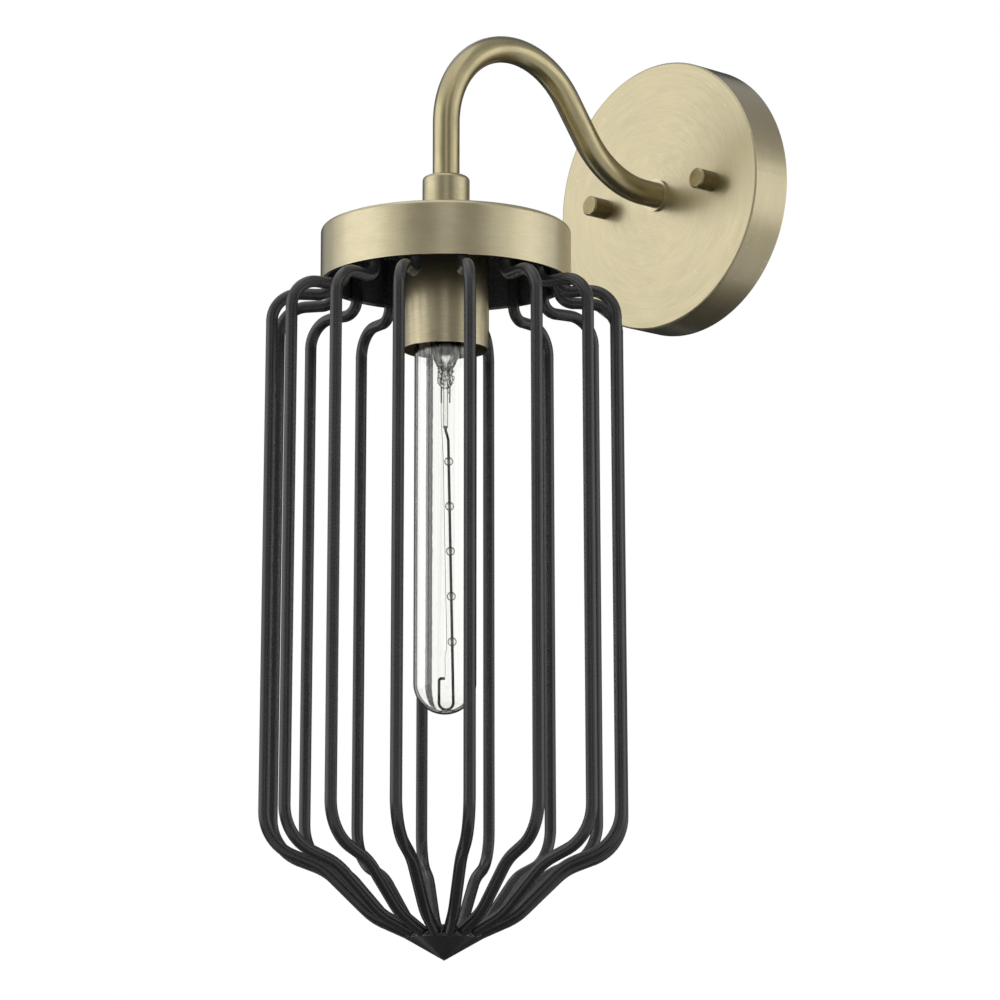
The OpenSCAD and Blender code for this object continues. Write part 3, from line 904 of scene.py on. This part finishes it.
@dataclass
class Arm:
    """The gooseneck with its collar and the coupling at its end."""

    effects: Effects
    tube: BrassFinish = BrassFinish("brass_arm", Grain.DRAWN, cell=(0.55 * MM, 14 * MM, 14 * MM),
                                    light=(0.50, 0.43, 0.24), dark=(0.28, 0.24, 0.125), anisotropy=0.3,
                                    edge=0.0, outline=(0.46, 0.68))
    ring: BrassFinish = BrassFinish("brass_collar", Grain.TURNED, axis=PLATE_AXIS, line=0.2 * MM,
                                    outline=(0.5, 0.72))
    # Its steps from the plate's face: a length with no turn, or a bend's radius and its turn in degrees.
    steps: tuple[tuple[float, float], ...] = ((8.5 * MM, 0.0), (48 * MM, 52.5), (20 * MM, 0.0),
                                              (42 * MM, -142.5), (31 * MM, 0.0))
    radius: float = 6 * MM
    wall: float = 1 * MM
    part: float = 2.5
    sides: int = 72

    def build(self) -> list[str]:
        """Dresses the collar and the coupling, and bends the tube.

        Returns:
            The names of the dressed nodes and of the piece.
        """
        self._gooseneck(self.tube.make(self.effects))
        dress(["arm_collar"], self.ring.make(self.effects))
        joint = BrassFinish("brass_coupling", Grain.TURNED, centre=tuple(CAGE_AXIS), arc=2.5,
                            light=(0.48, 0.42, 0.26), dark=(0.32, 0.275, 0.155), outline=(0.55, 0.76))
        dress(["coupling"], joint.make(self.effects))
        return ["gooseneck", "arm_collar", "coupling"]

    def _stations(self) -> list[tuple[Vector, float]]:
        """The points of the tube's middle line, each with its heading.

        Returns:
            The points, and the headings as the rise from the way out of the wall, in radians.
        """
        place = Vector((0.0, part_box("arm_tube")[1].y, 0.0))
        heading = 0.0
        stations = [(place, heading)]
        for size, turn in self.steps:
            parts = max(1, math.ceil(abs(turn) / self.part))
            bend = math.radians(turn) / parts
            run = 2 * size * math.sin(abs(bend) / 2) if turn else size
            for _ in range(parts):
                way = heading + bend / 2
                place = place + Vector((0.0, -math.cos(way), math.sin(way))) * run
                heading += bend
                stations.append((place, heading))
        return stations

    def _gooseneck(self, brass: Material) -> None:
        """Bends the tube without the small rings that the CAD tube has at the ends of its bends.

        Args:
            brass: Its material.
        """
        stations = self._stations()
        rings = [(place, heading, self.radius) for place, heading in stations]
        rings += [(place, heading, self.radius - self.wall) for place, heading in reversed(stations)]
        mesh = bmesh.new()
        loops = []
        for place, heading, radius in rings:
            up = Vector((0.0, math.sin(heading), math.cos(heading)))
            out = Vector((1.0, 0.0, 0.0))
            loops.append([mesh.verts.new(place + (out * math.cos(a) + up * math.sin(a)) * radius)
                          for a in turns(self.sides)])
        for first, second in zip(loops, loops[1:] + loops[:1]):
            bridge(mesh, first, second)
        piece = add_mesh("gooseneck", mesh, brass, Body.ROOT, 50.0)
        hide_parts("arm_tube")


@dataclass
class Cage:
    """The cap, the hub, the sixteen bent rods and the tip, with their welds."""

    effects: Effects
    coat: CoatFinish = CoatFinish("black_powder_coat")
    rods: int = 16
    rod_radius: float = 2.6 * MM
    weld_size: float = 1.15 * MM
    weld_steps: int = 7
    weld_lift: float = 1.0 * MM
    weld_spread: float = 0.94
    weld_inset: float = 0.5 * MM
    weld_scatter: float = 0.3 * MM
    weld_gap: float = 0.25 * MM
    weld_arc: float = 1.35
    near: float = 0.15 * MM

    def build(self) -> list[str]:
        """Dresses the cage.

        Returns:
            The names of the dressed nodes.
        """
        cap = BrassFinish("brass_cap", Grain.TURNED, centre=tuple(CAGE_AXIS), arc=7.0)
        dress(["cap"], cap.make(self.effects))
        black = self.coat.make(self.effects)
        rods = [f"cage_rod_{number:02d}" for number in range(1, self.rods + 1)]
        dress(["cage_tip", *rods], black)
        # Painted light: the hub takes a paler copy of the black coat, which lightens its inside where the
        # cap's shade falls.
        hub_painted_light_coat = CoatFinish("black_coat_hub_painted_light", base=(0.035, 0.034, 0.034), pale=(0.06, 0.058, 0.058))
        dress(["cage_hub"], hub_painted_light_coat.make(self.effects))
        return ["cap", "cage_hub", "cage_tip", *rods, *self._welds(rods, black)]

    def _welds(self, rods: Sequence[str], black: Material) -> list[str]:
        """Adds the weld metal round the rods' tops in the hub, and between their ends at the tip.

        Args:
            rods: Names of the rods.
            black: The coat over the welds.

        Returns:
            The names of the pieces.
        """
        tops, ends = bmesh.new(), bmesh.new()
        tip_edge = max((v - CAGE_AXIS).xy.length for v in points_of("cage_tip", lambda v: True))
        rim = points_of("cage_tip", lambda v: (v - CAGE_AXIS).xy.length > tip_edge - self.near)
        edge_z = min(v.z for v in rim)
        for number, rod in enumerate(rods):
            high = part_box(rod)[1].z
            top = middle(points_of(rod, lambda v: v.z > high - self.near))
            out = Vector(((top - CAGE_AXIS).x, (top - CAGE_AXIS).y, 0.0)).normalized()
            self._collar(tops, top, out, number)
            side = Vector((-out.y, out.x, 0.0))
            for half in (-1, 1):
                turn = Matrix.Rotation(half * math.pi / self.rods * self.weld_spread, 3, "Z")
                way = turn @ out
                uneven = noise.noise(Vector((number * 1.7, half * 3.1, 0.4)))
                reach = tip_edge - self.weld_inset + self.weld_inset * uneven
                place = Vector((CAGE_AXIS.x, CAGE_AXIS.y, edge_z)) + way * reach
                place.z += self.weld_lift + self.weld_scatter * uneven
                size = self.weld_size * (1.0 + 0.35 * uneven)
                axes = (way * size * 0.9, side * size * 0.75, Vector((0.0, 0.0, size * 0.8)))
                lumps(ends, place, axes, 0.5, number * 2.3 + half)
        add_mesh("weld_beads_hub", tops, black, Body.ROOT, 60.0)
        add_mesh("weld_beads_tip", ends, black, Body.ROOT, 60.0)
        return ["weld_beads_hub", "weld_beads_tip"]

    def _collar(self, mesh: BMesh, top: Vector, out: Vector, seed: int) -> None:
        """Adds one ring of weld metal round a rod's top, a third of its turn left open.

        Args:
            mesh: The mesh that takes it.
            top: Middle of the rod's top.
            out: Way out from the cage's axis.
            seed: Number of the rod.
        """
        side = Vector((-out.y, out.x, 0.0))
        for step in range(self.weld_steps):
            angle = math.pi + (step / (self.weld_steps - 1) - 0.5) * math.pi * self.weld_arc
            way = out * math.cos(angle) + side * math.sin(angle)
            uneven = noise.noise(Vector((seed * 2.1, step * 0.9, 1.5)))
            size = self.weld_size * (0.85 + 0.3 * uneven)
            place = top + way * (self.rod_radius + self.weld_gap) - Vector((0.0, 0.0, size * 0.45))
            along = way.cross(Vector(UP))
            axes = (way * size, along * size * 1.1, Vector((0.0, 0.0, size)))
            lumps(mesh, place, axes, 0.4, seed + step * 0.7)


@dataclass
class Socket:
    """The socket cup and the lampholder in it."""

    effects: Effects

    def build(self) -> list[str]:
        """Dresses the socket.

        Returns:
            The names of the dressed nodes.
        """
        cup = BrassFinish("brass_socket_cup", Grain.TURNED, centre=tuple(CAGE_AXIS), arc=3.5,
                          dark=(0.34, 0.285, 0.165))
        dress(["socket_cup"], cup.make(self.effects))
        moulding = CoatFinish("black_phenolic", base=(0.022, 0.019, 0.017), pale=(0.035, 0.030, 0.026),
                              worn_and_highlight=(0.10, 0.09, 0.08), rough=(0.30, 0.42), pebble=0.7 * MM)
        dress(["lampholder", "lamp_insulator"], moulding.make(self.effects))
        pressed = PlateFinish("pressed_brass", (0.75, 0.62, 0.32), (0.55, 0.43, 0.20), (0.9, 0.8, 0.5))
        contacts = ["terminal_screws", "screw_shell", "centre_contact", "lamp_contact"]
        dress(contacts, pressed.make(self.effects))
        return ["socket_cup", "lampholder", "lamp_insulator", *contacts]


@dataclass
class Lamp:
    """The tubular lamp: its blown glass, stem, wires, spine, beads and filament."""

    effects: Effects
    turn: float = math.radians(46.6)
    wall: float = 0.9 * MM
    steps: int = 160
    neck_steps: int = 12
    dome_steps: int = 32
    stem_sides: int = 96
    # The crinkled pinch, in mm: its depth below the stem's top, its reach, and how uneven it is.
    pinch_depth: float = 25.0
    pinch_reach: float = 7.0
    crinkle: float = 1.25
    lead_radius: float = 0.36 * MM
    stub_radius: float = 0.2 * MM
    thread_radius: float = 0.11 * MM

    def build(self) -> list[str]:
        """Dresses the lamp, blows its glass and draws its fine wires.

        Returns:
            The names of the dressed nodes and of the pieces.
        """
        glass = GlassFinish("clear_lamp_glass").make(self.effects)
        bead = GlassFinish("bead_glass", clear=(0.93, 0.925, 0.90), painted_edge_range=(0.22, 0.5), wave=1.5 * MM)
        pinched = GlassFinish("pinched_glass", clear=(0.95, 0.948, 0.93), painted_edge_range=(0.24, 0.40),
                              wave=1.6 * MM, depth=0.16 * MM)
        dress(["lamp_beads"], bead.make(self.effects))
        nickel = PlateFinish("nickel_lamp_cap", (0.66, 0.64, 0.60), (0.52, 0.50, 0.46), (0.82, 0.80, 0.76))
        plated = nickel.make(self.effects)
        dress(["lamp_cap"], plated)
        leads = PlateFinish("dull_lead_wires", (0.06, 0.05, 0.04), (0.03, 0.025, 0.02), (0.16, 0.14, 0.12))
        dull = leads.make(self.effects)
        dress(["lamp_leads"], dull)
        wire = CoatFinish("oxidised_wire", base=(0.004, 0.004, 0.004), pale=(0.014, 0.013, 0.012),
                          pebble=0.2 * MM, wear_and_highlight=0.0, rough=(0.42, 0.55), shine=0.08)
        oxide = wire.make(self.effects)
        dress(["lamp_spine"], oxide)
        self._envelope(glass)
        self._stem(pinched.make(self.effects))
        self._lead_ins(dull)
        self._filament(oxide)
        return ["lamp_beads", "lamp_cap", "lamp_leads", "lamp_spine", "glass_envelope",
                "blown_stem", "lead_in_wires", "filament_thread"]

    def _place(self, across: float, height: float, depth: float = 0.0) -> Vector:
        """A point in the lamp, turned as the lamp is at rest.

        Args:
            across: Distance from the axis in the spine's plane.
            height: Its Z.
            depth: Distance from that plane.

        Returns:
            The point.
        """
        cos, sin = math.cos(self.turn), math.sin(self.turn)
        return Vector((CAGE_AXIS.x + across * cos - depth * sin, CAGE_AXIS.y + across * sin + depth * cos,
                       height))

    @staticmethod
    def _beads() -> list[Vector]:
        """Finds the beads of the CAD lamp.

        Returns:
            Their middles, from the top.
        """
        groups: list[list[Vector]] = []
        for point in sorted(points_of("lamp_beads", lambda v: True), key=lambda v: -v.z):
            if not groups or groups[-1][-1].z - point.z > 4 * MM:
                groups.append([])
            groups[-1].append(point)
        return [middle(group) for group in groups]

    def _across(self, point: Vector) -> float:
        """A point's distance from the axis in the spine's plane."""
        return (point.x - CAGE_AXIS.x) * math.cos(self.turn) + (point.y - CAGE_AXIS.y) * math.sin(self.turn)

    def _outline(self, inset: float) -> list[tuple[float, float]]:
        """Half outline of the glass, from the neck's top to the dome's lowest point.

        Args:
            inset: How far it lies inside the outer face.

        Returns:
            Radius and height of each point.
        """
        low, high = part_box("lamp_glass")
        radius = (high.x - low.x) / 2
        cap_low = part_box("lamp_cap")[0].z
        mouth = points_of("lamp_glass", lambda v: v.z > high.z - 0.1 * MM)
        neck = max((v - CAGE_AXIS).xy.length for v in mouth)
        centre = low.z + radius
        shoulder = ((neck, high.z), (neck, cap_low - 0.5 * MM))
        start, end = cap_low - 1.0 * MM, cap_low - 8.0 * MM
        points = [(r - inset, z) for r, z in shoulder]
        for step in range(self.neck_steps + 1):
            share = step / self.neck_steps
            swell = share * share * (3 - 2 * share)
            points.append((neck + (radius - neck) * swell - inset, start + (end - start) * share))
        for step in range(self.dome_steps + 1):
            angle = math.pi / 2 * step / self.dome_steps
            points.append(((radius - inset) * math.cos(angle), centre - (radius - inset) * math.sin(angle)))
        points[-1] = (0.0, points[-1][1])
        return points

    def _envelope(self, glass: Material) -> None:
        """Blows the glass in place of the CAD's, as one smooth shell.

        Args:
            glass: Its material.
        """
        outline = self._outline(0.0) + self._outline(self.wall)[::-1]
        piece = add_mesh("glass_envelope", revolve(outline, self.steps), glass, Body.LAMP, 50.0)
        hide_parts("lamp_glass")

    def _stem(self, glass: Material) -> None:
        """Blows the stem in place of the CAD's: its skirt, funnel, crinkled pinch and rod.

        Args:
            glass: Its material.
        """
        low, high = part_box("lamp_stem")
        skirt = (high.x - low.x) / 2 / MM
        foot = (high.z - low.z) / MM
        bore = skirt - 0.8
        outside = ((0.0, skirt, skirt), (0.8, skirt, skirt), (2.2, 8.6, 8.6), (5.0, 7.3, 7.3),
                   (9.0, 6.9, 6.9), (13.0, 6.5, 6.5), (16.0, 6.0, 5.6), (18.5, 4.9, 4.4),
                   (20.5, 3.9, 3.2), (22.0, 3.3, 2.3), (23.5, 3.1, 1.8), (25.0, 3.3, 1.6),
                   (26.5, 3.5, 1.5), (28.0, 3.3, 1.5), (29.2, 2.7, 1.5), (30.0, 1.9, 1.4),
                   (30.6, 1.3, 1.2), (31.4, 1.1, 1.1), (foot - 0.4, 1.1, 1.1), (foot, 0.7, 0.7))
        inside = ((20.6, 0.6, 0.5), (19.6, 2.4, 1.8), (18.0, 3.8, 3.3), (15.6, 5.0, 4.7),
                  (12.0, 5.6, 5.6), (5.4, 6.2, 6.2), (2.6, 7.4, 7.4), (0.9, bore, bore), (0.0, bore, bore))
        mesh = bmesh.new()
        shells = [self._loft(mesh, outside, high.z), self._loft(mesh, inside, high.z)]
        mesh.faces.new(shells[0][-1])
        mesh.faces.new(shells[1][0])
        bridge(mesh, shells[0][0], shells[1][-1])
        piece = add_mesh("blown_stem", mesh, glass, Body.LAMP, 50.0)
        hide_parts("lamp_stem")

    def _loft(self, mesh: BMesh, stations: Sequence[Point],
              top: float) -> list[list[BMVert]]:
        """Adds a tube of oval rings, crinkled where the hot glass was pinched.

        Args:
            mesh: The mesh that takes it.
            stations: Depth below the top, half width and half thickness of each ring, in mm.
            top: Z of the stem's top.

        Returns:
            The points of each ring.
        """
        fine = smooth_path([Vector(station) for station in stations], 6)
        rings = []
        for depth, wide, thick in fine:
            crinkle = max(0.0, 1.0 - abs(depth - self.pinch_depth) / self.pinch_reach) * self.crinkle
            ring = []
            for angle in turns(self.stem_sides):
                uneven = noise.noise(Vector((math.cos(angle) * 3.4, math.sin(angle) * 3.4, depth * 1.1)))
                grow = crinkle * uneven
                ring.append(mesh.verts.new(self._place((wide + grow) * math.cos(angle) * MM, top - depth * MM,
                                                       (thick + grow) * math.sin(angle) * MM)))
            rings.append(ring)
        for first, second in zip(rings, rings[1:]):
            bridge(mesh, first, second)
        return rings

    def _lead_ins(self, dull: Material) -> None:
        """Adds the wires that run from the leads up through the stem to the screw cap.

        Args:
            dull: Their material.
        """
        mesh = bmesh.new()
        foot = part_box("lamp_leads")[1].z
        for side in (-1, 1):
            # Each point in mm: across from the axis, up from the leads' tops, and out of the spine's plane.
            lead = ((1.9, 0.4, 0.0), (1.9, 3.0, 0.1), (1.5, 6.5, 0.3), (1.7, 10.0, 0.7), (2.9, 15.0, 0.4),
                    (3.5, 21.0, -0.2), (4.2, 28.5, 0.0))
            stub = ((0.8, 3.0, 0.5), (0.9, 0.0, 0.9), (0.8 + 0.4 * side, -3.4, 1.2))
            wires = ((lead, 8, self.lead_radius, 12), (stub, 6, self.stub_radius, 8))
            for way, parts, radius, sides in wires:
                path = [self._place(side * across * MM, foot + rise * MM, depth * MM)
                        for across, rise, depth in way]
                sweep(mesh, smooth_path(path, parts), radius, sides)
        add_mesh("lead_in_wires", mesh, dull, Body.LAMP, 60.0)

    def _filament(self, oxide: Material) -> None:
        """Draws the thread from a lead past the beads to the hook's end, in place of the CAD's.

        Args:
            oxide: Its material.
        """
        low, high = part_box("lamp_filament")
        first = middle(points_of("lamp_filament", lambda v: v.z > high.z - 0.3 * MM))
        last = middle(points_of("lamp_filament", lambda v: v.z < low.z + 0.3 * MM))
        path = [first, first + Vector((0.0, 0.0, -6.0 * MM))]
        for bead in self._beads():
            path.append(self._place(self._across(bead) - 2.4 * MM, bead.z, 0.5 * MM))
        rise = Vector(UP)
        sag = (path[-1] - last).normalized() * 1.6 * MM
        path += [last + rise * 9.0 * MM, last + rise * 3.5 * MM + sag, last]
        mesh = bmesh.new()
        sweep(mesh, smooth_path(path, 10), self.thread_radius, 8)
        piece = add_mesh("filament_thread", mesh, oxide, Body.LAMP, 60.0)
        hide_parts("lamp_filament")


# ---- studio ----


def direction(azimuth: float, elevation: float) -> Vector:
    """The way out from the light at an azimuth from the front and an elevation, in degrees."""
    a, e = math.radians(azimuth), math.radians(elevation)
    return Vector((math.sin(a) * math.cos(e), -math.cos(a) * math.cos(e), math.sin(e)))


@dataclass
class Studio:
    """The floor, the white surround, the softboxes and the dark cards that metal mirrors."""

    floor_z: float = -1.10
    floor_size: float = 9.0
    ambient: float = 0.75
    aim_z: float = -0.13

    def build(self) -> list[str]:
        """Builds the studio.

        Returns:
            The names of what was made.
        """
        self._world()
        self._floor()
        boxes = (
            ("softbox_left", (-34.0, 12.0), 2.4, (2.1, 1.9), 0.85),
            ("softbox_right", (128.0, 6.0), 2.4, (1.3, 1.6), 0.75),
            ("softbox_above", (10.0, 78.0), 2.1, (1.6, 1.6), 0.35),
        )
        for box in boxes:
            self._softbox(*box)
        cards = (
            ("card_left_of_camera", (25.0, 10.0), 2.4, (1.30, 2.4), 0.33),
            ("card_right_of_camera", (70.0, 10.0), 2.4, (1.15, 2.4), 0.27),
            ("card_far_left", (-98.0, 10.0), 2.4, (1.7, 2.4), 0.40),
            ("card_behind", (216.0, 10.4), 2.0, (4.0, 2.0), 0.04),
            ("card_above", (168.0, 54.0), 2.0, (3.0, 2.2), 0.42),
            ("card_below", (218.0, -38.0), 1.2, (1.9, 1.0), 0.04),
            ("card_below_left", (-60.0, -42.0), 1.5, (2.6, 1.6), 0.08),
            ("card_under", (0.0, -89.0), 0.9, (1.3, 1.3), 0.05),
        )
        for card in cards:
            self._card(*card)
        return ["studio_floor", *(box[0] for box in boxes), *(card[0] for card in cards)]

    def _world(self) -> None:
        """White for what is seen, mirrored or looked through, and a plain level for the rest."""
        world = bpy.data.worlds.new("studio_white")
        bpy.context.scene.world = world
        world.use_nodes = True
        board = Board(world.node_tree)
        path = board.add("LightPath")
        seen = board.math("MAXIMUM", path.outputs["Is Camera Ray"], path.outputs["Is Glossy Ray"])
        seen = board.math("MAXIMUM", seen, path.outputs["Is Transmission Ray"])
        strength = board.remap(seen, 0.0, 1.0, to_low=self.ambient)
        ground = board.add("Background")
        board.put(ground, Color=(1.0, 1.0, 1.0, 1.0), Strength=strength)
        board.put(board.add("OutputWorld"), i0=ground.outputs[0])

    def _floor(self) -> None:
        """A plain pale floor, which is open from below."""
        mesh = bmesh.new()
        bmesh.ops.create_grid(mesh, x_segments=8, y_segments=8, size=self.floor_size / 2)
        material, board = new_material("studio_floor")
        floor = place_mesh("studio_floor", mesh, material)
        floor.location = (CAGE_AXIS.x, CAGE_AXIS.y, self.floor_z)
        pale = board.add("BsdfDiffuse")
        board.put(pale, Color=(0.86, 0.86, 0.86, 1.0))
        white = board.add("BsdfTransparent")
        back = board.add("NewGeometry").outputs["Backfacing"]
        mix = board.add("MixShader")
        board.put(mix, i0=back, i1=pale.outputs[0], i2=white.outputs[0])
        board.put(board.add("OutputMaterial"), i0=mix.outputs[0])

    def _aim(self, thing: Object, way: tuple[float, float], distance: float) -> None:
        """Stands a thing at a distance, with its -Z towards the middle of the light.

        Args:
            thing: What is placed.
            way: Its azimuth from the front, and its elevation, in degrees.
            distance: Its distance from the middle of the light.
        """
        out = direction(*way)
        thing.location = Vector((0.0, CAGE_AXIS.y, self.aim_z)) + out * distance
        thing.rotation_euler = (-out).to_track_quat("-Z", "Y").to_euler()

    def _softbox(self, name: str, way: tuple[float, float], distance: float, size: tuple[float, float],
                 glow: float) -> None:
        """One soft area light.

        Args:
            name: Its name.
            way: Its azimuth and elevation.
            distance: Its distance.
            size: Its width and height.
            glow: How bright its face is, where 1 is white.
        """
        light = bpy.data.lights.new(name, "AREA")
        light.shape = "RECTANGLE"
        light.size, light.size_y = size
        light.energy = glow * size[0] * size[1] * math.pi
        thing = bpy.data.objects.new(name, light)
        bpy.context.scene.collection.objects.link(thing)
        self._aim(thing, way, distance)

    def _card(self, name: str, way: tuple[float, float], distance: float, size: tuple[float, float],
              tone: float) -> None:
        """One dark card that only shows in reflections.

        Args:
            name: Its name.
            way: Its azimuth and elevation.
            distance: Its distance.
            size: Its width and height.
            tone: Its grey.
        """
        mesh = bmesh.new()
        bmesh.ops.create_grid(mesh, x_segments=2, y_segments=2, size=0.5)
        bmesh.ops.scale(mesh, vec=(size[0], size[1], 1.0), verts=mesh.verts)
        material, board = new_material(name)
        glow = board.put(board.add("Emission"), Color=(tone, tone, tone, 1.0), Strength=1.0)
        board.put(board.add("OutputMaterial"), i0=glow.outputs[0])
        card = place_mesh(name, mesh, material)
        self._aim(card, way, distance)
        card.visible_camera = card.visible_diffuse = card.visible_shadow = card.visible_transmission = False


@dataclass
class Viewpoint:
    """The camera, where the photograph was taken from."""

    azimuth: float = 46.59
    elevation: float = -10.39
    distance: float = 1.80004
    target: Point = (0.0, -0.075, -0.120)
    shift_right: float = -0.03418
    shift_up: float = -0.03134
    lens: float = 142.7
    sensor: float = 36.0

    def build(self) -> list[str]:
        """Places the camera and makes it the scene's own.

        Returns:
            Its name.
        """
        back = direction(self.azimuth, self.elevation)
        a = math.radians(self.azimuth)
        right = Vector((math.cos(a), math.sin(a), 0.0))
        up = back.cross(right)
        place = Vector(self.target) + back * self.distance + right * self.shift_right + up * self.shift_up
        data = bpy.data.cameras.new("camera")
        data.lens = self.lens
        data.sensor_width = self.sensor
        camera = bpy.data.objects.new("camera", data)
        bpy.context.scene.collection.objects.link(camera)
        turn = Matrix((right, up, back)).transposed().to_4x4()
        camera.matrix_world = Matrix.Translation(place) @ turn
        bpy.context.scene.camera = camera
        return ["camera"]


def main() -> None:
    """Builds the light's looks and the studio, in order, and reports each piece."""
    logging.basicConfig(level=logging.INFO, format="%(name)s: %(message)s")
    bpy.context.scene.view_settings.view_transform = "Standard"
    effects = Effects()
    assemblies = [Viewpoint(), Studio(), WallPlate(effects), Arm(effects), Cage(effects),
                  Socket(effects), Lamp(effects)]
    for assembly in assemblies:
        for piece in assembly.build():
            log.info("%s: %s", type(assembly).__name__, piece)


if __name__ == "__main__":
    main()
